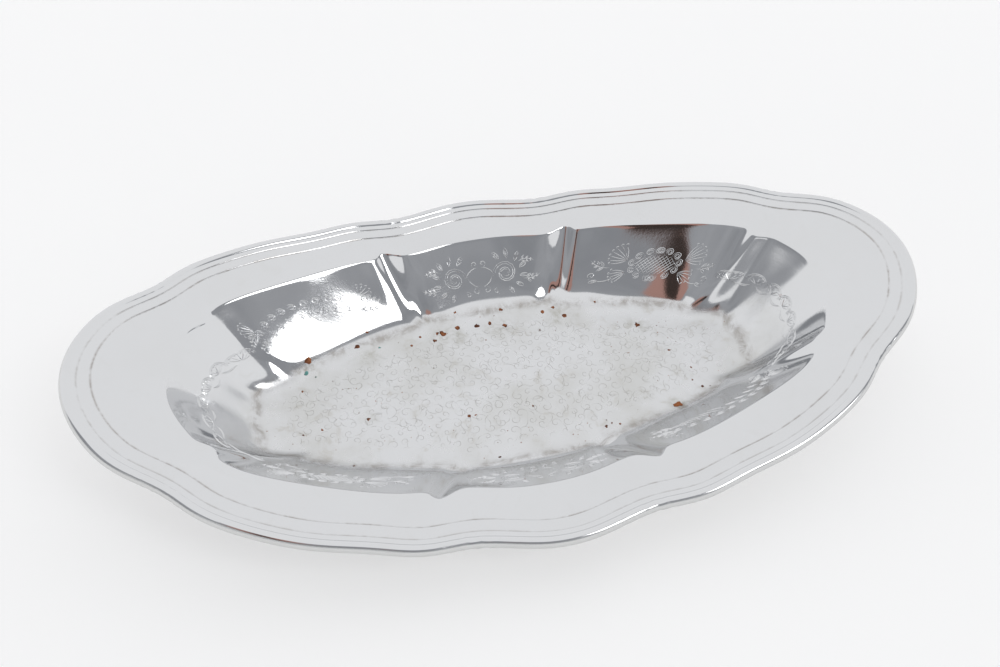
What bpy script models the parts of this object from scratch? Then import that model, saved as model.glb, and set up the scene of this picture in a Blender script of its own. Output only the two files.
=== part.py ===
"""Long oval serving dish, pressed from one plated sheet, with a lobed edge rolled round a wire.

Metres, +Z up. The origin is the centre of the flat underside, and +X runs along the dish.
"""

import bpy
import numpy as np

# Driving dimensions
HALF_LENGTH = 0.170
SHEET = 0.0008
WIRE_RADIUS = 0.0011
FIT_GAP = 0.0003

# Plan outlines, as fractions of HALF_LENGTH: half length and half width of the oval
RIM_OVAL = (1.003, 0.549)
BROW_OVAL = (0.800, 0.395)
FLOOR_OVAL = (0.620, 0.234)

# Lobes of each outline: (angle round the oval and spread, in degrees, and swell of the radius).
# Each is repeated in all four quarters.
RIM_LOBES = ((34, 7, -0.0245), (65.5, 6.5, -0.0185), (78, 5.2, -0.041), (83.5, 4, -0.012))
BROW_LOBES = ((28, 3, -0.025), (36, 12, 0.034), (75.5, 7, -0.038), (72.3, 1.9, 0.056))
FLOOR_LOBES = ((31, 4, -0.020), (22, 9, 0.050), (62, 9, -0.030), (80, 7, 0.025), (75.2, 1.9, 0.055))

# Heights above the floor, as fractions of HALF_LENGTH: at mid length, and the rise at x = 1
RIM_HEIGHT = (0.135, 0.147)
BROW_HEIGHT = (0.128, 0.129)

# Wall section: softness of the bend at the floor and of the one at the brow, both as
# fractions of the wall's run
FLOOR_BEND = 0.085
BROW_BEND = 0.014

# How far the wall sags below straight, halfway up, as a fraction of HALF_LENGTH
WALL_SAG = 0.0100

# Border, measured inwards from the outermost edge, and the depth of its two steps
BORDER_WIDTH = 0.0115
BAND_WIDTH = 0.0050
STEP_RUN = 0.0006
STEP_DEPTH = 0.0004

# Rolled edge: the bead's section turns from the band over the wire and back under
BEAD_RADIUS = WIRE_RADIUS + FIT_GAP + SHEET
BEAD_ANGLES = (150, 115, 80, 40, 0, -45, -90, -130, -172)

# Mesh density
EVEN_STATIONS = 88
FLUTE_ANGLES = (29, 73.5)
FLUTE_STATION_STEP = 1.3
FLUTE_STATIONS = 2
FLOOR_RINGS = (0.45, 0.80)
WALL_RINGS = (-0.14, 0.0, 0.12, 0.38, 0.66, 0.88, 1.0, 1.12)
FLANGE_RINGS = (0.45, 1.0)
WIRE_SIDES = 8


def station_angles():
    """Angles round the oval in radians: evenly spread, and closer together at the flutes."""
    reach = FLUTE_STATION_STEP * (FLUTE_STATIONS + 0.6)
    flutes = np.array([
        side + sign * angle
        for angle in FLUTE_ANGLES
        for side, sign in ((0, 1), (180, -1), (180, 1), (360, -1))
    ])
    even = np.arange(EVEN_STATIONS) * 360 / EVEN_STATIONS
    clear = np.abs(even[:, None] - flutes[None, :]).min(axis=1) > reach
    offsets = np.arange(-FLUTE_STATIONS, FLUTE_STATIONS + 1) * FLUTE_STATION_STEP
    close = (flutes[:, None] + offsets[None, :]).ravel()
    return np.radians(np.sort(np.concatenate([even[clear], close])))


def lobed_outline(angles, oval, lobes):
    """Points of an oval whose radius swells or dips at each lobe, in metres."""
    degrees = np.degrees(angles)
    swell = np.ones_like(angles)
    for centre, spread, height in lobes:
        for mirrored in (centre, 180 - centre, 180 + centre, 360 - centre):
            away = (degrees - mirrored + 180) % 360 - 180
            swell += height * np.exp(-((away / spread) ** 2))
    x = oval[0] * np.cos(angles) * swell
    y = oval[1] * np.sin(angles) * swell
    return HALF_LENGTH * np.stack([x, y], axis=1)


def swept_height(points, height):
    """Height of an outline that rises towards the dish's two ends, in metres."""
    along = points[:, 0] / HALF_LENGTH
    return SHEET + HALF_LENGTH * (height[0] + height[1] * along**2)


def outward(outline):
    """Unit vectors square to a closed anticlockwise outline, in plan."""
    along = np.roll(outline, -1, axis=0) - np.roll(outline, 1, axis=0)
    across = np.stack([along[:, 1], -along[:, 0]], axis=1)
    return across / np.linalg.norm(across, axis=1)[:, None]


def soft_ramp(x, softness):
    """Zero below x = 0 and x above it, with a rounded corner."""
    return softness * np.logaddexp(0, x / softness)


def with_height(outline, height):
    return np.concatenate([outline, np.broadcast_to(height, len(outline))[:, None]], axis=1)


def border_ring(rim, inward, height):
    """Ring of the border at this distance inwards from the outermost edge."""
    return with_height(rim - outward(rim) * inward, height)


def upper_skin(angles):
    """Rings of the sheet's upper face, from the inner floor to the start of the bead."""
    floor = lobed_outline(angles, FLOOR_OVAL, FLOOR_LOBES)
    brow = lobed_outline(angles, BROW_OVAL, BROW_LOBES)
    rim = lobed_outline(angles, RIM_OVAL, RIM_LOBES)
    brow_top = swept_height(brow, BROW_HEIGHT)
    rim_top = swept_height(rim, RIM_HEIGHT)
    flange_edge = rim - outward(rim) * BORDER_WIDTH
    bead_drop = BEAD_RADIUS * (1 - np.sin(np.radians(BEAD_ANGLES[0])))
    flange_top = rim_top - bead_drop - 2 * STEP_DEPTH

    rings = [with_height(floor * part, SHEET) for part in FLOOR_RINGS]
    for run in WALL_RINGS:
        lift = soft_ramp(run, FLOOR_BEND) - soft_ramp(run - 1, BROW_BEND)
        plan = floor + (brow - floor) * min(run, 1)
        climbed = soft_ramp(run, FLOOR_BEND / 2) - soft_ramp(run - 1, BROW_BEND / 2)
        sag = WALL_SAG * HALF_LENGTH * 4 * climbed * (1 - climbed)
        height = SHEET + (brow_top - SHEET) * lift - sag
        if run > 1:
            past = (run - 1) * np.linalg.norm(brow - floor, axis=1)
            share = past / np.linalg.norm(flange_edge - brow, axis=1)
            plan = brow + (flange_edge - brow) * share[:, None]
            height = brow_top + (flange_top - brow_top) * share
        rings.append(with_height(plan, height))
    for share in FLANGE_RINGS:
        plan = brow + (flange_edge - brow) * share
        rings.append(with_height(plan, brow_top + (flange_top - brow_top) * share))
    inner_step = BORDER_WIDTH - STEP_RUN
    outer_step = BORDER_WIDTH - BAND_WIDTH
    rings.append(border_ring(rim, inner_step, flange_top + STEP_DEPTH))
    rings.append(border_ring(rim, outer_step, flange_top + STEP_DEPTH))
    rings.append(border_ring(rim, outer_step - STEP_RUN, flange_top + 2 * STEP_DEPTH))
    return rings


def lower_skin(rings):
    """The rings moved down through the sheet, square to its upper face."""
    grid = np.array(rings)
    around = np.roll(grid, -1, axis=1) - np.roll(grid, 1, axis=1)
    outwards = np.gradient(grid, axis=0)
    normal = np.cross(outwards, around)
    normal /= np.linalg.norm(normal, axis=2)[:, :, None]
    below = grid - normal * SHEET
    flat = len(FLOOR_RINGS)
    below[:flat] = grid[:flat] - (0, 0, SHEET)
    return list(below)


def rings_round_the_wire(angles, radius, turns):
    """Rings at this radius from the wire's centre, one for each turn from straight out."""
    rim = lobed_outline(angles, RIM_OVAL, RIM_LOBES)
    centre = border_ring(rim, BEAD_RADIUS, swept_height(rim, RIM_HEIGHT) - BEAD_RADIUS)
    sideways = with_height(outward(rim), 0)
    upwards = np.array([0, 0, 1])
    return [
        centre + radius * (np.cos(turn) * sideways + np.sin(turn) * upwards)
        for turn in np.radians(turns)
    ]


def band(first, second, count):
    """Quads between two rings of the same number of vertices."""
    return [
        (first + i, first + (i + 1) % count, second + (i + 1) % count, second + i)
        for i in range(count)
    ]


def new_object(name, vertices, faces, material):
    mesh = bpy.data.meshes.new(name)
    mesh.from_pydata([tuple(map(float, vertex)) for vertex in vertices], [], faces)
    mesh.validate()
    mesh.materials.append(material)
    mesh.shade_smooth()
    part = bpy.data.objects.new(name, mesh)
    bpy.context.collection.objects.link(part)
    return part


def principled(name, colour, roughness, metallic):
    material = bpy.data.materials.new(name)
    material.use_nodes = True
    shader = material.node_tree.nodes["Principled BSDF"]
    shader.inputs["Base Color"].default_value = (*colour, 1)
    shader.inputs["Roughness"].default_value = roughness
    shader.inputs["Metallic"].default_value = metallic
    return material


def make_dish(angles):
    """The pressed sheet: upper face, rolled edge and lower face, closed at the floor's middle."""
    upper = upper_skin(angles)
    outer_bead = rings_round_the_wire(angles, BEAD_RADIUS, BEAD_ANGLES)
    inner_bead = rings_round_the_wire(angles, BEAD_RADIUS - SHEET, BEAD_ANGLES)
    rings = upper + outer_bead + inner_bead[::-1] + lower_skin(upper)[::-1]
    count = len(angles)
    vertices = [(0, 0, SHEET), (0, 0, 0), *np.concatenate(rings)]
    starts = [2 + index * count for index in range(len(rings))]
    faces = []
    for inside, outside in zip(starts, starts[1:]):
        faces += [tuple(reversed(face)) for face in band(inside, outside, count)]
    for i in range(count):
        after = (i + 1) % count
        faces.append((0, starts[0] + i, starts[0] + after))
        faces.append((1, starts[-1] + after, starts[-1] + i))
    plated = principled("plated_metal", (0.78, 0.79, 0.80), 0.12, 1.0)
    dish = new_object("dish", vertices, faces, plated)
    dish.data.set_sharp_from_angle(angle=np.radians(40))
    return dish


def make_edge_wire(angles):
    """The hoop of round wire that the edge is rolled over."""
    turns = np.arange(WIRE_SIDES) * 360 / WIRE_SIDES
    rings = rings_round_the_wire(angles, WIRE_RADIUS, turns)
    count = len(angles)
    faces = []
    for side in range(WIRE_SIDES):
        faces += band(side * count, (side + 1) % WIRE_SIDES * count, count)
    steel = principled("wire_steel", (0.42, 0.40, 0.38), 0.45, 1.0)
    return new_object("edge_wire", np.concatenate(rings), faces, steel)


def main():
    for old in list(bpy.data.objects):
        bpy.data.objects.remove(old, do_unlink=True)
    angles = station_angles()
    make_dish(angles)
    make_edge_wire(angles)


main()
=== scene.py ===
"""Looks of the long oval plated dish: its pressed surface, engraving, corrosion and finish.

Metres, +Z up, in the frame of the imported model. +X runs along the dish.
"""

import math

import bpy
import numpy as np
from mathutils import Matrix, Vector


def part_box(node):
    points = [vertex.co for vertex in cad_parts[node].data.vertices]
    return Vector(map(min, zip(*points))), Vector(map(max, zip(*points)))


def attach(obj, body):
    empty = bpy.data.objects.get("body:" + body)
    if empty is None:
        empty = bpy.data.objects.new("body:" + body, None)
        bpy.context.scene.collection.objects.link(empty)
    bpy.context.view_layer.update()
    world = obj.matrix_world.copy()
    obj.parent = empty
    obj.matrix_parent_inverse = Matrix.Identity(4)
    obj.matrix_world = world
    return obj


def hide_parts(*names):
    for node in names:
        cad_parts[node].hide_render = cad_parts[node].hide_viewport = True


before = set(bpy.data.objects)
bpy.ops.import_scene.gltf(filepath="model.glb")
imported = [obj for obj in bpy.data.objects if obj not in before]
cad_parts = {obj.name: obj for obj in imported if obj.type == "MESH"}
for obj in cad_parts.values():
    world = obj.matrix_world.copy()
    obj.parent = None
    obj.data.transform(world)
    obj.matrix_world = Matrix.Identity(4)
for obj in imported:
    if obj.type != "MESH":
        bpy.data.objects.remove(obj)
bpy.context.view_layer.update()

MM = 0.001
UP = np.array([0.0, 0.0, 1.0])

# The dish's shape, as its solid has it. The driving size comes from the dish part of model.glb.
RIM_OVAL = (1.003, 0.549)
BROW_OVAL = (0.800, 0.395)
FLOOR_OVAL = (0.620, 0.234)
HALF_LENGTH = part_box("dish")[1].x / RIM_OVAL[0]
SHEET = 0.8 * MM
WIRE_RADIUS = 1.1 * MM
FIT_GAP = 0.3 * MM
BEAD_RADIUS = WIRE_RADIUS + FIT_GAP + SHEET

# Lobes of each outline: (angle round the oval and spread, in degrees, and swell of the radius)
RIM_LOBES = ((34, 7, -0.0245), (65.5, 6.5, -0.0185), (78, 5.2, -0.041), (83.5, 4, -0.012))
BROW_LOBES = ((28, 3, -0.025), (36, 12, 0.034), (75.5, 7, -0.038), (72.3, 1.9, 0.056))
FLOOR_LOBES = ((31, 4, -0.020), (22, 9, 0.050), (62, 9, -0.030), (80, 7, 0.025), (75.2, 1.9, 0.055))

# Heights above the floor, as fractions of the half length: at mid length, and the rise at x = 1
RIM_HEIGHT = (0.135, 0.147)
BROW_HEIGHT = (0.128, 0.129)
FLOOR_BEND = 0.085
BROW_BEND = 0.014
WALL_SAG = 0.0100

# Border: where its two grooves lie, inwards from the edge, and their section
INNER_GROOVE = 11.2 * MM
OUTER_GROOVE = 6.2 * MM
STEP_DEPTH = 0.4 * MM
STEP_SPREAD = 0.25 * MM
GROOVE_DEPTH = 0.22 * MM
GROOVE_SPREAD = 0.22 * MM
GRIME_SPREAD = 0.35 * MM
BEAD_START = 150
BEAD_END = -172

# Where the rolled edge is puckered: the angles of the rim's inward points, in degrees, and reach
PUCKERS = ((34, 5), (78, 4))
PUCKER_DEPTH = 0.13 * MM

# Mesh density
STATIONS = 640
UNDERSIDE_STRIDE = 3
WIRE_STATIONS = 420

# Where the flange takes over from the wall's bend, as a run up the wall, and where it ends
BROW_OVERRUN = 1.12
FLANGE_EDGE = INNER_GROOVE + 1.2 * MM


# Surface -----------------------------------------------------------------------------------


def mirrored_swell(angles, lobes):
    """Sum of bumps along the outline, each repeated in all four quarters."""
    degrees = np.degrees(angles)
    swell = np.zeros_like(degrees)
    for centre, spread, height in lobes:
        for mirrored in (centre, 180 - centre, 180 + centre, 360 - centre):
            away = (degrees - mirrored + 180) % 360 - 180
            swell = swell + height * np.exp(-((away / spread) ** 2))
    return swell


def lobed_outline(angles, oval, lobes):
    """Points of an oval whose radius swells or dips at each lobe, in metres."""
    radius = 1 + mirrored_swell(angles, lobes)
    x = oval[0] * np.cos(angles) * radius
    y = oval[1] * np.sin(angles) * radius
    return HALF_LENGTH * np.stack([x, y], axis=-1)


def swept_height(points, height):
    along = points[..., 0] / HALF_LENGTH
    return SHEET + HALF_LENGTH * (height[0] + height[1] * along**2)


def rim_outline(angles):
    return lobed_outline(angles, RIM_OVAL, RIM_LOBES)


def rim_square(angles):
    """Unit vectors square to the rim in plan, pointing out."""
    nudge = 1e-3
    along = rim_outline(angles + nudge) - rim_outline(angles - nudge)
    across = np.stack([along[..., 1], -along[..., 0]], axis=-1)
    return across / np.linalg.norm(across, axis=-1)[..., None]


def soft_ramp(x, softness):
    """Zero below x = 0 and x above it, with a rounded corner."""
    return softness * np.logaddexp(0, x / softness)


def joined(plan, height):
    return np.concatenate([plan, np.asarray(height)[..., None]], axis=-1)


def basin(angles, run):
    """Points of the wall: run 0 is the floor's edge, 1 the brow, and less than 0 lies on the floor."""
    floor = lobed_outline(angles, FLOOR_OVAL, FLOOR_LOBES)
    brow = lobed_outline(angles, BROW_OVAL, BROW_LOBES)
    run = np.broadcast_to(run, angles.shape)
    rise = soft_ramp(run, FLOOR_BEND) - soft_ramp(run - 1, BROW_BEND)
    climbed = soft_ramp(run, FLOOR_BEND / 2) - soft_ramp(run - 1, BROW_BEND / 2)
    sag = WALL_SAG * HALF_LENGTH * 4 * climbed * (1 - climbed)
    height = SHEET + (swept_height(brow, BROW_HEIGHT) - SHEET) * rise - sag
    return joined(floor + (brow - floor) * run[..., None], height)


def border(angles, inward):
    """Points of the border at this distance in from the edge, with its steps and grooves."""
    bead_drop = BEAD_RADIUS * (1 - math.sin(math.radians(BEAD_START)))
    height = swept_height(rim_outline(angles), RIM_HEIGHT) - bead_drop
    for groove in (OUTER_GROOVE, INNER_GROOVE):
        past = inward - groove
        height = height - STEP_DEPTH * 0.5 * (1 + math.tanh(past / STEP_SPREAD))
        height = height - GROOVE_DEPTH * math.exp(-((past / GROOVE_SPREAD) ** 2))
    return joined(rim_outline(angles) - rim_square(angles) * inward, height)


def flange(angles, share):
    """Points of the flange: share 0 is just past the brow, and 1 is the border's inner edge."""
    start = basin(angles, BROW_OVERRUN)
    return start + (border(angles, FLANGE_EDGE) - start) * share


def bead(angles, turn, radius):
    """Points of the rolled edge: turn is in degrees from straight out, and 90 is its top."""
    square = rim_square(angles)
    top = swept_height(rim_outline(angles), RIM_HEIGHT)
    centre = joined(rim_outline(angles) - square * BEAD_RADIUS, top - BEAD_RADIUS)
    swing = math.radians(turn)
    out = math.cos(swing) * joined(square, 0 * angles) + math.sin(swing) * UP
    return centre + np.broadcast_to(radius, angles.shape)[:, None] * out


def puckers(angles, turn):
    """How far the rolled edge is pinched in, near the rim's inward points."""
    near = mirrored_swell(angles, [(centre, reach, 1.0) for centre, reach in PUCKERS])
    ripple = np.sin(angles * 290 + 2 * math.sin(math.radians(turn)))
    ripple = ripple * np.sin(angles * 131 + math.radians(turn) * 2)
    return PUCKER_DEPTH * near * (ripple - 0.3)


def sheet_wave(points):
    """How far the thin sheet stands out of true at each point: long shallow waves from use."""
    x, y = points[..., 0] / HALF_LENGTH, points[..., 1] / HALF_LENGTH
    wave = np.sin(7.3 * x + 2.1 * y + 0.4) * np.cos(11.0 * y - 3.1 * x + 1.1)
    wave = wave + 0.6 * np.sin(17.0 * x - 9.0 * y + 2.0) * np.sin(13.0 * y + 6.0 * x)
    return 0.035 * MM * wave


def wall_spot(angles, run):
    """Points on the finished wall or floor, and the unit vectors square to it."""
    nudge = 1e-3
    points = basin(angles, run)
    outwards = basin(angles, run + nudge) - basin(angles, run - nudge)
    around = basin(angles + nudge, run) - basin(angles - nudge, run)
    square = np.cross(outwards, around)
    square = square / np.linalg.norm(square, axis=-1)[..., None]
    return points + square * sheet_wave(points)[..., None], square


# Mesh building -----------------------------------------------------------------------------


def band(first, second, count):
    """Quads between two closed rings of vertices."""
    return [
        (first + i, second + i, second + (i + 1) % count, first + (i + 1) % count)
        for i in range(count)
    ]


def new_piece(name, vertices, faces, material):
    mesh = bpy.data.meshes.new(name)
    mesh.from_pydata(np.asarray(vertices).tolist(), [], faces)
    mesh.validate()
    mesh.materials.append(material)
    mesh.shade_smooth()
    piece = bpy.data.objects.new(name, mesh)
    bpy.context.collection.objects.link(piece)
    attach(piece, "root")
    return piece


def store(piece, name, values):
    """A number for each vertex, which the material reads by name."""
    attribute = piece.data.attributes.new(name, "FLOAT", "POINT")
    attribute.data.foreach_set("value", np.asarray(values, np.float32))


def upper_rings(angles):
    """Rings of the sheet's upper face from the middle of the floor to the bead, with marks.

    The marks say how far each point is etched ground, and how much dirt its hollow holds.
    """
    plain = np.zeros_like(angles)
    end_wall = np.exp(-((np.sin(angles) / 0.42) ** 4))
    rings, etched, grime = [], [], []

    def add(points, etched_here, grime_here):
        rings.append(points)
        etched.append(etched_here + plain)
        grime.append(grime_here + plain)

    inner_floor = basin(angles, -0.45)
    for part in np.linspace(0.06, 1.0, 15):
        add(np.concatenate([inner_floor[:, :2] * part, inner_floor[:, 2:]], axis=1), 1.0, 0.0)
    lower_wall = np.concatenate([np.linspace(-0.36, 0.34, 15), np.linspace(0.41, 0.94, 8)])
    brow = np.concatenate([np.linspace(0.965, 1.035, 11), [1.055, 1.085, BROW_OVERRUN]])
    for run in np.concatenate([lower_wall, brow]):
        floor_ground = 1 / (1 + math.exp((run - 0.02) / 0.035))
        end_ground = 1 / (1 + math.exp((run - 0.50) / 0.09))
        ground = np.maximum(floor_ground, 0.55 * end_wall * end_ground)
        add(basin(angles, run), ground, math.exp(-(((run - 0.02) / 0.07) ** 2)))
    for share in np.linspace(0.10, 1.0, 9):
        add(flange(angles, share), 0.0, 0.0)
    steps = np.linspace(1.0, -1.0, 9) * 0.7 * MM
    inner, outer = INNER_GROOVE + steps, OUTER_GROOVE + steps
    bead_foot = BEAD_RADIUS * (1 - math.cos(math.radians(BEAD_START)))
    between = np.linspace(inner[-1], outer[0], 4)[1:-1]
    last = np.linspace(outer[-1], bead_foot, 4)[1:-1]
    for inward in np.concatenate([inner, between, outer, last]):
        in_inner = math.exp(-(((inward - INNER_GROOVE) / GRIME_SPREAD) ** 2))
        in_outer = math.exp(-(((inward - OUTER_GROOVE) / GRIME_SPREAD) ** 2))
        add(border(angles, inward), 0.0, in_inner + 0.55 * in_outer)
    return rings, etched, grime


def square_to(rings):
    """Unit vectors square to a surface given as rings."""
    grid = np.array(rings)
    around = np.roll(grid, -1, axis=1) - np.roll(grid, 1, axis=1)
    outwards = np.gradient(grid, axis=0)
    normal = np.cross(outwards, around)
    return normal / np.linalg.norm(normal, axis=2)[:, :, None]


def make_dish(material):
    """The plated sheet: upper face, edge rolled round the wire, and underside, as one closed body."""
    angles = np.arange(STATIONS) * 2 * math.pi / STATIONS
    upper, etched, grime = upper_rings(angles)
    normal = square_to(upper)
    grid = np.array(upper)
    grid = grid + normal * sheet_wave(grid)[:, :, None]
    coarse = list(range(0, len(upper) - 12, UNDERSIDE_STRIDE))
    picked = coarse + list(range(len(upper) - 12, len(upper), 2))
    lower = grid[picked] - normal[picked] * SHEET
    turns = np.linspace(BEAD_START, BEAD_END, 20)
    outer_bead = [bead(angles, turn, BEAD_RADIUS + puckers(angles, turn)) for turn in turns]
    inner_bead = [bead(angles, turn, BEAD_RADIUS - SHEET) for turn in turns[::-3]]
    rings = list(grid) + outer_bead + inner_bead + list(lower[::-1])
    middle_top, middle_bottom = (0, 0, grid[0, :, 2].mean()), (0, 0, lower[0, :, 2].mean())
    vertices = [middle_top, middle_bottom, *np.concatenate(rings)]
    starts = [2 + index * STATIONS for index in range(len(rings))]
    faces = []
    for inside, outside in zip(starts, starts[1:]):
        faces += band(inside, outside, STATIONS)
    for i in range(STATIONS):
        after = (i + 1) % STATIONS
        faces.append((0, starts[0] + i, starts[0] + after))
        faces.append((1, starts[-1] + after, starts[-1] + i))
    dish = new_piece("dish_sheet", vertices, faces, material)
    rest = (len(rings) - len(upper)) * STATIONS
    store(dish, "etched", np.concatenate([[1, 0], np.ravel(etched), np.zeros(rest)]))
    store(dish, "grime", np.concatenate([[0, 0], np.ravel(grime), np.zeros(rest)]))
    seen_above = (len(upper) + len(turns) // 3) * STATIONS
    hidden = len(rings) * STATIONS - seen_above
    store(dish, "underside", np.concatenate([[0, 1], np.zeros(seen_above), np.ones(hidden)]))
    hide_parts("dish")


def make_wire(material):
    """The steel hoop inside the rolled edge, a little uneven along its length."""
    angles = np.arange(WIRE_STATIONS) * 2 * math.pi / WIRE_STATIONS
    sides = 12
    wander = 0.05 * MM * np.sin(angles * 23) * np.cos(angles * 7)
    rings = [bead(angles, side * 360 / sides, WIRE_RADIUS + wander) for side in range(sides)]
    faces = []
    for side in range(sides):
        faces += band((side + 1) % sides * WIRE_STATIONS, side * WIRE_STATIONS, WIRE_STATIONS)
    wire = new_piece("edge_wire_hoop", np.concatenate(rings), faces, material)
    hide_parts("edge_wire")


# Engraved strokes --------------------------------------------------------------------------
# A stroke is a row of (u, v) points in millimetres: u runs along a panel of the wall from its
# middle, and v up it from the ornament's foot.

# How far the ornament's foot lies above the floor's edge, and the spacing of the end shells
ORNAMENT_LIFT = 6.0
SHELL_PITCH = 8.6

# Half width and height of an engraved stroke's ridge, and of an etched one's
CUT_SIZE = (0.24 * MM, 0.14 * MM)
ETCH_SIZE = (0.16 * MM, 0.05 * MM)


def bow(start, end, bulge, count=8):
    """A stroke that curves from start to end, standing off to one side by about half the bulge."""
    start, end = np.array(start, float), np.array(end, float)
    along = end - start
    control = (start + end) / 2 + np.array([-along[1], along[0]]) / np.linalg.norm(along) * bulge
    t = np.linspace(0, 1, count)[:, None]
    return (1 - t) ** 2 * start + 2 * t * (1 - t) * control + t**2 * end


def volute(centre, radius, turns, begin, hand=1, inner=0.16):
    """A scroll that winds inwards from an angle in degrees."""
    count = int(10 * turns + 6)
    share = np.linspace(0, 1, count)
    swing = math.radians(begin) + hand * 2 * math.pi * turns * share
    reach = radius * (1 - (1 - inner) * share**0.8)
    return np.array(centre) + reach[:, None] * np.stack([np.cos(swing), np.sin(swing)], axis=1)


def off(point, angle, distance):
    """The point at a distance and an angle in degrees from another."""
    swing = math.radians(angle)
    return (point[0] + distance * math.cos(swing), point[1] + distance * math.sin(swing))


def leaf(base, angle, length, fullness=0.30):
    """A pointed leaf: two sides and a midrib."""
    tip = off(base, angle, length)
    return [bow(base, tip, length * fullness), bow(base, tip, -length * fullness),
            bow(base, off(base, angle, length * 0.75), length * 0.06, 5)]


def frond(base, angle, length, turn, leaflets):
    """A curling stem with leaves on both sides that shrink towards its tip."""
    strokes = [bow(base, off(base, angle + turn / 2, length), -length * turn / 160)]
    for index in range(leaflets):
        share = (index + 1) / (leaflets + 1)
        root = off(base, angle + turn / 2 * share, length * share)
        size = length * 0.42 * (1.1 - share)
        for side in (-1, 1):
            strokes += leaf(root, angle + turn * share + side * 42, size, 0.26)
    return strokes


def fan(base, angle, length, spread, ribs):
    """Ribs spreading from one point, each ending in a small curl, as on a shell or a plume."""
    strokes = []
    for index in range(ribs):
        lean = (index / (ribs - 1) - 0.5) * 2
        tip_angle = angle + lean * spread / 2
        tip = off(base, tip_angle, length * (1 - 0.12 * lean**2))
        strokes.append(bow(base, tip, lean * length * 0.14))
        strokes.append(volute(off(tip, tip_angle + 90, 0.55), 0.75, 0.7, tip_angle - 90, 1))
    return strokes


def lattice(centre, half_width, half_height, pitch):
    """Crossing diagonals that fill an oval."""
    strokes = []
    reach = int((half_width + half_height) / pitch) + 1
    for lean in (-1, 1):
        for index in range(-reach, reach + 1):
            v = np.linspace(-half_height, half_height, 60)
            u = index * pitch + lean * v
            inside = (u / half_width) ** 2 + (v / half_height) ** 2 < 1
            if inside.sum() > 6:
                row = np.stack([u[inside], v[inside]], axis=1)[:: max(1, inside.sum() // 5)]
                strokes.append(row + np.array(centre))
    return strokes


def raised(strokes, lift):
    """The strokes moved up the wall, in millimetres."""
    return [stroke + np.array([0, lift]) for stroke in strokes]


def both_sides(strokes):
    """The strokes and their mirror images."""
    return strokes + [stroke * np.array([-1, 1]) for stroke in strokes]


def facing_volutes():
    """Centre panels: two big scrolls face each other, with leaves round their outsides."""
    middle = (12.0, 12.5)
    half = [volute(middle, 6.2, 2.0, 190, -1), volute(middle, 5.2, 1.7, 190, -1),
            bow((5.6, 12), (0.8, 7.5), 1.8), bow((6.6, 12.6), (1.0, 16.5), -1.6),
            volute((1.8, 18.0), 1.7, 1.1, -90, 1), volute((2.4, 5.8), 1.9, 1.1, 90, -1)]
    for angle in (-78, -46, -14, 18, 50, 82, 112):
        half += leaf(off(middle, angle, 6.6), angle + 16, 4.6, 0.34)
    half += frond((19.5, 9.5), -8, 9.0, 34, 3) + frond((17.5, 17.0), 24, 8.0, -40, 3)
    half += [volute((7.0, 4.6), 1.6, 1.2, 60, 1), volute((8.2, 20.4), 1.5, 1.2, -60, -1)]
    return both_sides(half)


def crested_spray():
    """Side panels: a crest of small scrolls over a spray of long leaves."""
    half = []
    for index in range(5):
        middle = (2.6 + 5.0 * index, 19.6 - 0.34 * index**2)
        half.append(volute(middle, 2.5, 1.5, -60, 1))
        half.append(volute(middle, 1.7, 1.1, -60, 1))
        half.append(bow(off(middle, -70, 2.6), off(middle, -100, 6.2), 1.2))
        half += leaf(off(middle, -95, 3.2), -112 + 8 * index, 4.2, 0.24)
    for index in range(6):
        half.append(bow((1.4 + 3.2 * index, 15.8 - 0.5 * index), (5.0 + 4.0 * index, 8.8), -1.6))
    half += frond((22.0, 14.0), 4, 11.0, -46, 4) + frond((20.5, 10.0), -24, 10.0, 30, 3)
    half += fan((24.0, 16.0), 32, 6.0, 70, 5)
    half.append(volute((27.5, 6.2), 2.0, 1.3, 120, -1))
    return both_sides(half)


def trellis_cartouche():
    """Side panels: a latticed oval in a scrolled frame, with plumes and tendrils beside it."""
    strokes = lattice((0, 14.0), 9.5, 5.2, 1.9)
    half = []
    for index, angle in enumerate((-84, -52, -22, 8, 38, 66, 88)):
        swing = math.radians(angle)
        middle = (10.6 * math.cos(swing), 14.0 + 6.6 * math.sin(swing))
        half.append(volute(middle, 2.4, 1.4, angle + 150, -1))
        half.append(volute(middle, 1.6, 1.0, angle + 150, -1))
    half += fan((13.0, 16.5), 30, 8.6, 84, 7) + fan((12.5, 10.5), -22, 7.2, 60, 5)
    half += frond((20.0, 13.0), 2, 10.0, 44, 3)
    half += [bow((17.0, 8.0), (27.0, 7.0), -3.0), volute((27.4, 9.0), 2.2, 1.3, -90, 1)]
    half += leaf((24.0, 6.6), -14, 4.4, 0.3)
    return strokes + both_sides(half)


def arched_shells():
    """End panels: a row of scalloped shells joined by straps."""
    strokes = []
    for index in range(-3, 4):
        foot = (SHELL_PITCH * index, 20.0 - 0.4 * index**2)
        strokes += fan(foot, 90 - 6 * index, 3.6, 130, 6)
        strokes.append(volute(foot, 4.4, 0.5, -6 * index, 1, 0.96))
        strokes.append(volute(foot, 5.0, 0.5, -6 * index, 1, 0.96))
    for index in range(-3, 3):
        start = (SHELL_PITCH * index + 1.0, 19.0 - 0.4 * index**2)
        end = (SHELL_PITCH * (index + 1) - 1.0, 19.0 - 0.4 * (index + 1) ** 2)
        strokes.append(bow(start, end, -2.2))
        strokes.append(bow(start, end, -3.6))
    return strokes


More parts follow.
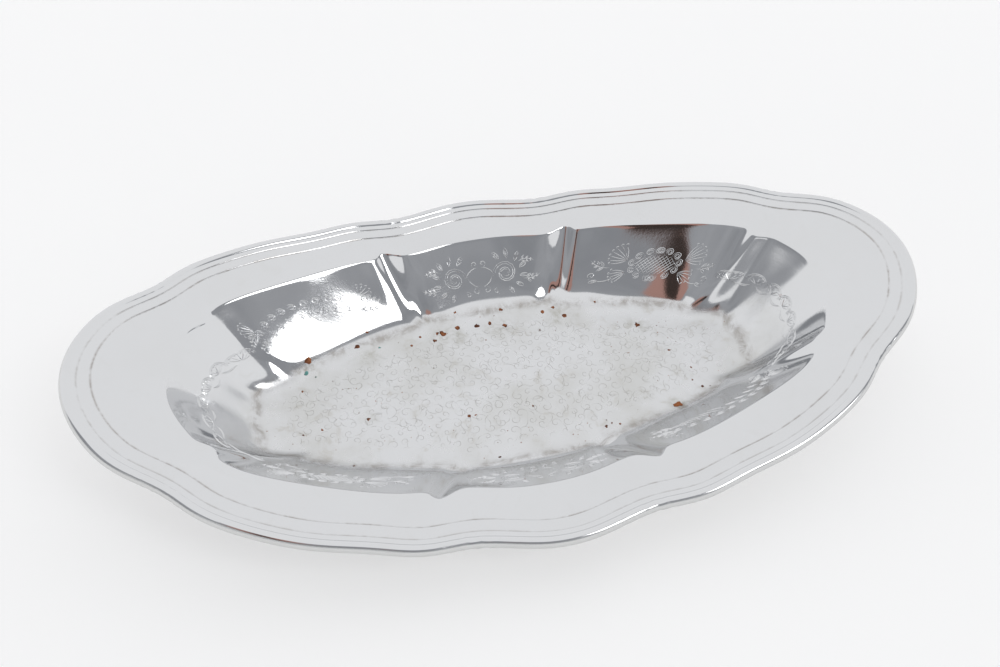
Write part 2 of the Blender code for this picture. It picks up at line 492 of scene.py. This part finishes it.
def on_panel(middle, strokes):
    """Strokes laid on the wall round an angle in degrees: rows of points and square vectors."""
    angle = np.array([math.radians(middle)])
    nudge = 0.02
    length = np.linalg.norm(basin(angle + nudge, 0.55) - basin(angle - nudge, 0.55)) / (2 * nudge)
    climb = np.linalg.norm(basin(angle, 0.8) - basin(angle, 0.2)) / 0.6
    return [
        wall_spot(angle[0] - stroke[:, 0] * MM / length, (stroke[:, 1] + ORNAMENT_LIFT) * MM / climb)
        for stroke in strokes
    ]


def curls_on_floor(rng):
    """All-over etching of the floor: small scrolls on a loose grid, each turned its own way."""
    pitch = 5.8
    rows = []
    reach = FLOOR_OVAL[0] * HALF_LENGTH / MM
    for row, y in enumerate(np.arange(-40, 41, pitch * 0.8)):
        for x in np.arange(-reach, reach + 1, pitch):
            middle = np.array([x + pitch / 2 * (row % 2), y]) + rng.uniform(-1.2, 1.2, 2)
            begin, hand, size = rng.uniform(0, 360), rng.choice((-1, 1)), rng.uniform(1.6, 3.2)
            angle = math.atan2(middle[1] / FLOOR_OVAL[1], middle[0] / FLOOR_OVAL[0])
            edge = np.linalg.norm(basin(np.array([angle]), -0.12)[0, :2]) / MM
            if np.linalg.norm(middle) + size > edge:
                continue
            tail = off(middle, begin, size)
            for stroke in (volute(middle, size, 1.15, begin, hand),
                           bow(tail, off(tail, begin - 70 * hand, size * 1.9), size * 0.8 * hand, 6)):
                points = joined(stroke * MM, np.full(len(stroke), SHEET))
                points[:, 2] += sheet_wave(points)
                rows.append((points, np.broadcast_to(UP, points.shape)))
    return rows


def make_strokes(name, rows, size, material):
    """Fine tapering ridges, each a closed three-sided body that is sunk a little into the sheet."""
    half_width, height = size
    vertices, faces = [], []
    sunk = 0.04 * MM
    for points, square in rows:
        count = len(points)
        along = np.gradient(points, axis=0)
        side = np.cross(square, along)
        side = side / np.linalg.norm(side, axis=1)[:, None]
        taper = np.sin(np.linspace(0.12, math.pi - 0.12, count))[:, None] ** 0.6
        start = len(vertices)
        left = points + side * half_width * taper - square * sunk
        crest = points + square * height * taper
        right = points - side * half_width * taper - square * sunk
        vertices += [*left, *crest, *right]
        for i in range(count - 1):
            for first, second in ((0, 1), (1, 2), (2, 0)):
                a, b = start + first * count + i, start + second * count + i
                faces.append((a, a + 1, b + 1, b))
        last = start + count - 1
        faces.append((start, start + count, start + 2 * count))
        faces.append((last, last + 2 * count, last + count))
    strokes = new_piece(name, vertices, faces, material)
    strokes.data.shade_flat()


def make_engraving(bright, soft):
    """Bright-cut ornament on the eight panels of the wall, and the etching of the floor."""
    panels = {
        "centre": ((90, 270), facing_volutes()),
        "spray": ((130, 310), raised(crested_spray(), 3.5)),
        "trellis": ((49.5, 229.5), raised(trellis_cartouche(), 1.5)),
        "end": ((0, 180), arched_shells()),
    }
    for name, (middles, strokes) in panels.items():
        rows = [row for middle in middles for row in on_panel(middle, strokes)]
        make_strokes(f"engraving_{name}", rows, CUT_SIZE, bright)
    rng = np.random.default_rng(7)
    make_strokes("floor_etching", curls_on_floor(rng), ETCH_SIZE, soft)


# Corrosion ---------------------------------------------------------------------------------
# Spots that stand out: (x and y as fractions of the half length, and radius in millimetres)

SPOTS = (
    (-0.485, 0.160, 1.7), (-0.356, 0.189, 1.3), (-0.325, 0.221, 0.7), (-0.218, 0.168, 0.6),
    (-0.190, 0.194, 0.7), (-0.154, 0.172, 0.9), (-0.144, 0.195, 0.9), (-0.132, 0.192, 1.5),
    (-0.091, 0.204, 1.4), (-0.038, 0.200, 1.0), (-0.024, 0.146, 0.5), (0.000, 0.202, 1.1),
    (0.035, 0.187, 1.2), (0.039, 0.238, 0.8), (0.145, 0.210, 1.1), (0.176, 0.219, 0.9),
    (0.199, 0.183, 1.4), (0.293, 0.207, 0.6), (0.380, 0.110, 1.5), (0.433, 0.008, 0.7),
    (0.393, -0.167, 2.0), (0.200, -0.190, 0.7), (0.234, -0.192, 0.6), (0.216, -0.185, 0.5),
    (-0.360, -0.040, 0.9), (-0.118, -0.086, 0.8), (-0.103, -0.086, 0.6), (0.041, -0.091, 0.6),
    (-0.474, -0.048, 0.7), (-0.509, 0.079, 0.6), (-0.520, -0.053, 0.5), (-0.413, -0.175, 0.6),
    (-0.077, -0.222, 0.6), (0.468, -0.059, 0.6), (0.472, -0.127, 0.7), (0.458, -0.100, 0.5),
    (0.123, 0.149, 0.6), (-0.084, 0.250, 0.7),
)
GREEN_SPOTS = ((-0.491, 0.131, 1.3), (-0.300, 0.178, 0.8), (-0.470, 0.118, 0.6))
# Spots with a wide stain round them: the same numbers, with the stain's radius
STAINS = (
    (0.393, -0.167, 6), (0.320, -0.119, 6), (-0.120, 0.170, 12), (0.190, 0.180, 10),
    (-0.485, 0.150, 10), (-0.360, -0.040, 6), (0.380, 0.110, 7), (0.020, 0.180, 9),
    (-0.330, 0.160, 8),
)
SMALL_SPOTS = 110


def basin_grid():
    """Angles, runs and plan positions of points spread over the floor and wall."""
    angles = np.linspace(0, 2 * math.pi, 721)[:-1]
    ring, step = np.meshgrid(angles, np.linspace(-0.45, 1.0, 80))
    return ring, step, basin(ring, step)[..., :2]


def lie_on_dish(grid, x, y):
    """The point of the floor or wall over a place in plan, and the vector square to it there."""
    ring, step, plan = grid
    best = np.unravel_index(np.linalg.norm(plan - (x, y), axis=-1).argmin(), ring.shape)
    if best[0] == 0:
        point = np.array([x, y, SHEET])
        return point + UP * sheet_wave(point), UP
    point, square = wall_spot(np.array([ring[best]]), np.array([step[best]]))
    return point[0], square[0]


def crust(point, square, radius, rng):
    """A low ragged crust: a closed dome of two rings and a top, with corners of uneven reach."""
    corners = int(rng.integers(7, 12))
    across = np.cross(square, (0.3, 1.0, 0.1))
    across = across / np.linalg.norm(across)
    up_page = np.cross(square, across)
    reach = radius * rng.uniform(0.45, 1.25, corners)
    vertices = []
    for share, lift in ((1.0, -0.05 * MM), (0.62, 0.11 * radius)):
        for index in range(corners):
            swing = 2 * math.pi * index / corners
            out = math.cos(swing) * across + math.sin(swing) * up_page
            rough = 1 + rng.uniform(-0.3, 0.3) * (lift > 0)
            vertices.append(point + out * reach[index] * share + square * lift * rough)
    vertices.append(point + square * 0.16 * radius)
    vertices.append(point - square * 0.05 * MM)
    faces = []
    for i in range(corners):
        after = (i + 1) % corners
        faces.append((i, after, corners + after, corners + i))
        faces.append((corners + i, corners + after, 2 * corners))
        faces.append((after, i, 2 * corners + 1))
    return vertices, faces


def make_corrosion(rust, verdigris):
    """Rust that has broken through the plating, thickest along the floor's far edge."""
    rng = np.random.default_rng(11)
    grid = basin_grid()
    brown = [(x * HALF_LENGTH, y * HALF_LENGTH, 1.25 * radius * MM) for x, y, radius in SPOTS]
    for _ in range(SMALL_SPOTS):
        swing, reach = rng.uniform(0, 2 * math.pi), rng.uniform(0.15, 1.05) ** 0.5
        x = FLOOR_OVAL[0] * reach * math.cos(swing) * HALF_LENGTH
        y = FLOOR_OVAL[1] * reach * math.sin(swing) * HALF_LENGTH
        brown.append((x, y, rng.uniform(0.13, 0.42) * MM))
    green = [(x * HALF_LENGTH, y * HALF_LENGTH, radius * MM) for x, y, radius in GREEN_SPOTS]
    for name, spots, material in (("rust_spots", brown, rust), ("verdigris_spots", green, verdigris)):
        vertices, faces = [], []
        for x, y, radius in spots:
            point, square = lie_on_dish(grid, x, y)
            more, more_faces = crust(point, square, radius, rng)
            faces += [tuple(index + len(vertices) for index in face) for face in more_faces]
            vertices += more
        new_piece(name, vertices, faces, material)


# Materials ---------------------------------------------------------------------------------


class Nodes:
    """Short calls that add nodes to one node tree and join them up."""

    def __init__(self, tree):
        self.tree = tree

    def add(self, kind, values=(), **settings):
        node = self.tree.nodes.new(kind)
        for name, value in settings.items():
            setattr(node, name, value)
        for socket, value in dict(values).items():
            self.put(node.inputs[socket], value)
        return node

    def put(self, socket, value):
        if isinstance(value, bpy.types.NodeSocket):
            self.tree.links.new(value, socket)
        else:
            socket.default_value = value

    def math(self, operation, *values, clamp=False):
        settings = {"operation": operation, "use_clamp": clamp}
        return self.add("ShaderNodeMath", enumerate(values), **settings).outputs[0]

    def distance(self, first, second):
        node = self.add("ShaderNodeVectorMath", {0: first, 1: second}, operation="DISTANCE")
        return node.outputs["Value"]

    def ramp(self, value, low, high, to_low=0.0, to_high=1.0):
        """Smooth step of a value from low to high."""
        values = {"Value": value, "From Min": low, "From Max": high,
                  "To Min": to_low, "To Max": to_high}
        node = self.add("ShaderNodeMapRange", values, interpolation_type="SMOOTHSTEP")
        return node.outputs["Result"]

    def mix(self, share, first, second, blend="MIX"):
        node = self.add("ShaderNodeMix", data_type="RGBA", blend_type=blend)
        for index, value in ((0, share), (6, first), (7, second)):
            self.put(node.inputs[index], value)
        return node.outputs[2]

    def noise(self, position, scale, detail=3.0, roughness=0.55, distortion=0.0):
        values = {"Vector": position, "Scale": scale, "Detail": detail, "Roughness": roughness,
                  "Distortion": distortion}
        return self.add("ShaderNodeTexNoise", values).outputs["Fac"]

    def attribute(self, name):
        return self.add("ShaderNodeAttribute", attribute_name=name).outputs["Fac"]

    def place(self):
        return self.add("ShaderNodeTexCoord").outputs["Object"]


def new_material(name):
    material = bpy.data.materials.new(name)
    material.use_nodes = True
    material.node_tree.nodes.clear()
    nodes = Nodes(material.node_tree)
    shader = nodes.add("ShaderNodeBsdfPrincipled")
    output = nodes.add("ShaderNodeOutputMaterial")
    material.node_tree.links.new(shader.outputs[0], output.inputs["Surface"])
    return material, nodes, shader


def metal_finish(name, etched, stained=True, shade=None):
    """Bright plate with fine scratches; where etched it is duller, with tarnish and dirt.

    Etched is how far the surface is etched ground, or None to read it from the mesh. Shade
    darkens the whole finish.
    """
    material, nodes, shader = new_material(name)
    place = nodes.place()
    grime = nodes.attribute("grime")
    underside = nodes.attribute("underside")
    ground = nodes.attribute("etched") if etched is None else etched

    cloud = nodes.noise(place, 28.0, 4.0, 0.6)
    blotch = nodes.noise(place, 120.0, 6.0, 0.72, 0.5)
    fine = nodes.noise(place, 1100.0, 3.0, 0.6)

    clean = (0.695, 0.70, 0.71, 1)
    dull = (0.60, 0.60, 0.585, 1)
    yellowed = (0.50, 0.475, 0.42, 1)
    dirt = (0.16, 0.12, 0.08, 1)
    reach = nodes.ramp(ground, 0.0, 1.0, 0.10, 0.75)
    share = nodes.math("MULTIPLY", nodes.ramp(cloud, 0.40, 0.70), reach)
    colour = nodes.mix(share, clean, dull)
    reach = nodes.ramp(ground, 0.0, 1.0, 0.05, 0.40)
    share = nodes.math("MULTIPLY", nodes.ramp(blotch, 0.54, 0.70), reach)
    colour = nodes.mix(share, colour, yellowed)
    if stained:
        halo = 0.0
        for x, y, radius in STAINS:
            centre = (x * HALF_LENGTH, y * HALF_LENGTH, SHEET)
            away = nodes.distance(place, centre)
            ring = nodes.ramp(away, radius * 0.15 * MM, radius * MM, 1.0, 0.0)
            halo = nodes.math("MAXIMUM", halo, ring)
        share = nodes.math("MULTIPLY", halo, nodes.ramp(blotch, 0.42, 0.62, 0.04, 0.60))
        colour = nodes.mix(share, colour, (0.40, 0.39, 0.34, 1))
    share = nodes.math("MULTIPLY", grime, nodes.ramp(blotch, 0.40, 0.62, 0.04, 0.50), clamp=True)
    colour = nodes.mix(share, colour, dirt)
    colour = nodes.mix(nodes.math("MULTIPLY", underside, 0.5), colour, dull)
    if shade:
        colour = nodes.mix(1.0, colour, shade, "MULTIPLY")
    nodes.put(shader.inputs["Base Color"], colour)

    shader.inputs["Metallic"].default_value = 1.0
    smooth = nodes.ramp(cloud, 0.3, 0.8, 0.035, 0.10)
    rough = nodes.ramp(blotch, 0.3, 0.8, 0.26, 0.40)
    level = nodes.math("MULTIPLY_ADD", nodes.math("SUBTRACT", rough, smooth), ground, smooth)
    level = nodes.math("MULTIPLY_ADD", grime, 0.12, level)
    level = nodes.math("MULTIPLY_ADD", underside, 0.18, level)
    nodes.put(shader.inputs["Roughness"], level)

    stretched = nodes.add("ShaderNodeMapping", {"Vector": place, "Scale": (1.0, 9.0, 3.0)})
    stretched.inputs["Rotation"].default_value = (0, 0, 0.5)
    scratches = nodes.noise(stretched.outputs[0], 420.0, 2.0, 0.5)
    relief = nodes.math("MULTIPLY_ADD", scratches, 0.3, fine)
    strength = nodes.ramp(ground, 0.0, 1.0, 0.012, 0.16)
    bump = nodes.add("ShaderNodeBump", {"Strength": strength, "Distance": 0.0004, "Height": relief})
    nodes.put(shader.inputs["Normal"], bump.outputs[0])
    return material


def crust_finish(name, bright, dark):
    """Matt, crumbly corrosion that varies between two colours."""
    material, nodes, shader = new_material(name)
    place = nodes.place()
    grain = nodes.noise(place, 900.0, 4.0, 0.7)
    broad = nodes.noise(place, 130.0, 2.0, 0.5)
    share = nodes.math("MULTIPLY_ADD", grain, 0.5, nodes.math("MULTIPLY", broad, 0.5))
    nodes.put(shader.inputs["Base Color"], nodes.mix(nodes.ramp(share, 0.40, 0.58), dark, bright))
    shader.inputs["Roughness"].default_value = 0.85
    bump = nodes.add("ShaderNodeBump", {"Strength": 0.8, "Distance": 0.0003, "Height": grain})
    nodes.put(shader.inputs["Normal"], bump.outputs[0])
    return material


def wire_steel():
    """Dull drawn steel wire with rust."""
    material, nodes, shader = new_material("wire_steel")
    place = nodes.place()
    rust = nodes.ramp(nodes.noise(place, 160.0, 4.0, 0.6), 0.45, 0.62)
    colour = nodes.mix(rust, (0.42, 0.40, 0.38, 1), (0.17, 0.075, 0.03, 1))
    nodes.put(shader.inputs["Base Color"], colour)
    nodes.put(shader.inputs["Metallic"], nodes.math("SUBTRACT", 1.0, rust))
    nodes.put(shader.inputs["Roughness"], nodes.math("MULTIPLY_ADD", rust, 0.4, 0.42))
    bump = nodes.add("ShaderNodeBump", {"Strength": 0.3, "Distance": 0.0002,
                                        "Height": nodes.noise(place, 1400.0)})
    nodes.put(shader.inputs["Normal"], bump.outputs[0])
    return material


# Studio ------------------------------------------------------------------------------------


def direction(azimuth, elevation):
    """Unit vector towards a compass angle from +X and an angle above the horizon, in degrees."""
    a, e = math.radians(azimuth), math.radians(elevation)
    return Vector((math.cos(a) * math.cos(e), math.sin(a) * math.cos(e), math.sin(e)))


def patch(nodes, ray, azimuth, elevation, half_width, half_height, blur, lean=0.0):
    """1 inside a rectangle of the surroundings, and 0 outside. Sizes are in degrees.

    Lean is how many degrees the patch rises for each degree of azimuth.
    """
    turned = nodes.add("ShaderNodeVectorRotate", {"Vector": ray, "Angle": -math.radians(azimuth)},
                       rotation_type="Z_AXIS")
    parts = nodes.add("ShaderNodeSeparateXYZ", {0: turned.outputs[0]}).outputs
    bearing = nodes.math("ARCTAN2", parts[1], parts[0])
    height = nodes.math("SUBTRACT", nodes.math("ARCSINE", parts[2]), math.radians(elevation))
    height = nodes.math("MULTIPLY_ADD", bearing, -lean, height)
    across = nodes.math("ABSOLUTE", nodes.math("DIVIDE", bearing, math.radians(half_width)))
    upright = nodes.math("ABSOLUTE", nodes.math("DIVIDE", height, math.radians(half_height)))
    far = nodes.math("MAXIMUM", across, upright)
    return nodes.ramp(far, 1.0 - blur, 1.0 + blur, 1.0, 0.0)


def make_world():
    """A white studio, with the dim room, the lamp and the figure that the plate reflects."""
    white = (0.97, 0.975, 0.985, 1)
    skin, cloth = (0.46, 0.27, 0.23, 1), (0.055, 0.04, 0.035, 1)
    lamp_light = (4.0, 4.0, 4.0, 1)
    backdrop = (0.88, 0.88, 0.885, 1)
    world = bpy.data.worlds.new("studio")
    bpy.context.scene.world = world
    world.use_nodes = True
    world.node_tree.nodes.clear()
    nodes = Nodes(world.node_tree)
    ray = nodes.add("ShaderNodeTexCoord").outputs["Generated"]

    # The dim room: its middle behind the camera, its right side, a low ledge and its left edge
    dim = nodes.mix(nodes.noise(ray, 3.2, 3.0, 0.5), (0.22, 0.23, 0.25, 1), (0.52, 0.53, 0.55, 1))
    room = patch(nodes, ray, -68, 48.5, 62, 20.5, 0.05)
    dark = room
    for part in (
        patch(nodes, ray, -161, 39.5, 39, 19.5, 0.05),
        patch(nodes, ray, -115, 24, 16, 4.2, 0.08),
        patch(nodes, ray, -28, 35, 30, 6, 0.05, lean=-0.2),
    ):
        dark = nodes.math("MAXIMUM", dark, part)
    colour = nodes.mix(dark, white, dim)
    gap = patch(nodes, ray, -120, 30.6, 22, 3.9, 0.08)
    colour = nodes.mix(gap, colour, white)

    # The figure widens upwards between two leaning sides
    left_side = patch(nodes, ray, -111, 63, 14, 24, 0.05, lean=1.6)
    right_side = patch(nodes, ray, -111, 59, 14, 24, 0.05, lean=-1.2)
    figure = nodes.math("MINIMUM", room, nodes.math("MINIMUM", left_side, right_side))
    colour = nodes.mix(figure, colour, skin)
    coat = patch(nodes, ray, -113, 56, 3.6, 15, 0.15)
    head = patch(nodes, ray, -111, 41.5, 6, 3.5, 0.15)
    clothes = nodes.math("MINIMUM", figure, nodes.math("MAXIMUM", coat, head))
    colour = nodes.mix(clothes, colour, cloth)

    # The lamp is an upright window cut off by a steeply leaning one
    lamp_sides = patch(nodes, ray, -38.5, 49.25, 18.5, 12.75, 0.03)
    lamp_slope = patch(nodes, ray, -38.5, 41.6, 30, 20, 0.03, lean=-1.5)
    lamp = nodes.math("MINIMUM", lamp_sides, lamp_slope)
    colour = nodes.mix(lamp, colour, lamp_light)

    seen = nodes.add("ShaderNodeLightPath").outputs["Is Camera Ray"]
    colour = nodes.mix(seen, colour, backdrop)
    background = nodes.add("ShaderNodeBackground", {"Color": colour, "Strength": 1.0})
    output = nodes.add("ShaderNodeOutputWorld")
    world.node_tree.links.new(background.outputs[0], output.inputs["Surface"])


def make_floor():
    """A wide round sheet of white paper under the dish. It glows a little, to soften shadows."""
    count, radius = 96, 6.0
    vertices = [(0, 0, 0)]
    for i in range(count):
        angle = 2 * math.pi * i / count
        vertices.append((radius * math.cos(angle), radius * math.sin(angle), 0))
    faces = [(0, 1 + i, 1 + (i + 1) % count) for i in range(count)]
    mesh = bpy.data.meshes.new("paper_floor")
    mesh.from_pydata(vertices, [], faces)
    material, nodes, shader = new_material("white_paper")
    soft = nodes.noise(nodes.place(), 3.0, 2.0)
    colour = nodes.mix(soft, (0.50, 0.50, 0.505, 1), (0.53, 0.53, 0.53, 1))
    nodes.put(shader.inputs["Base Color"], colour)
    shader.inputs["Roughness"].default_value = 0.85
    shader.inputs["Emission Color"].default_value = (1, 1, 1, 1)
    shader.inputs["Emission Strength"].default_value = 0.47
    mesh.materials.append(material)
    floor = bpy.data.objects.new("paper_floor", mesh)
    bpy.context.collection.objects.link(floor)


def make_camera():
    """The view of the photograph: from the front left, 48 degrees down, slightly rolled."""
    camera = bpy.data.cameras.new("camera")
    camera.sensor_width = 36.0
    camera.lens = 36.0
    camera.clip_start = 0.01
    holder = bpy.data.objects.new("camera", camera)
    place = Vector((-0.4265, -1.5269, 1.9695)) * HALF_LENGTH
    ahead = direction(90 - 14.74, -48.40)
    level = ahead.cross(Vector((0, 0, 1))).normalized()
    right = Matrix.Rotation(math.radians(-1.56), 3, ahead) @ level
    up = right.cross(ahead)
    turn = Matrix((right, up, -ahead)).transposed().to_4x4()
    holder.matrix_world = Matrix.Translation(place) @ turn
    bpy.context.collection.objects.link(holder)
    bpy.context.scene.camera = holder


def main():
    bpy.context.scene.view_settings.view_transform = "Standard"
    make_camera()
    make_world()
    make_floor()
    make_dish(metal_finish("plated_metal", None))
    make_wire(wire_steel())
    cut = metal_finish("bright_cut", 0.12, stained=False)
    etch = metal_finish("floor_etch", 1.0, stained=False, shade=(0.52, 0.50, 0.46, 1))
    make_engraving(cut, etch)
    rust = crust_finish("rust", (0.33, 0.11, 0.035, 1), (0.09, 0.032, 0.016, 1))
    verdigris = crust_finish("verdigris", (0.16, 0.42, 0.40, 1), (0.05, 0.10, 0.08, 1))
    make_corrosion(rust, verdigris)


main()
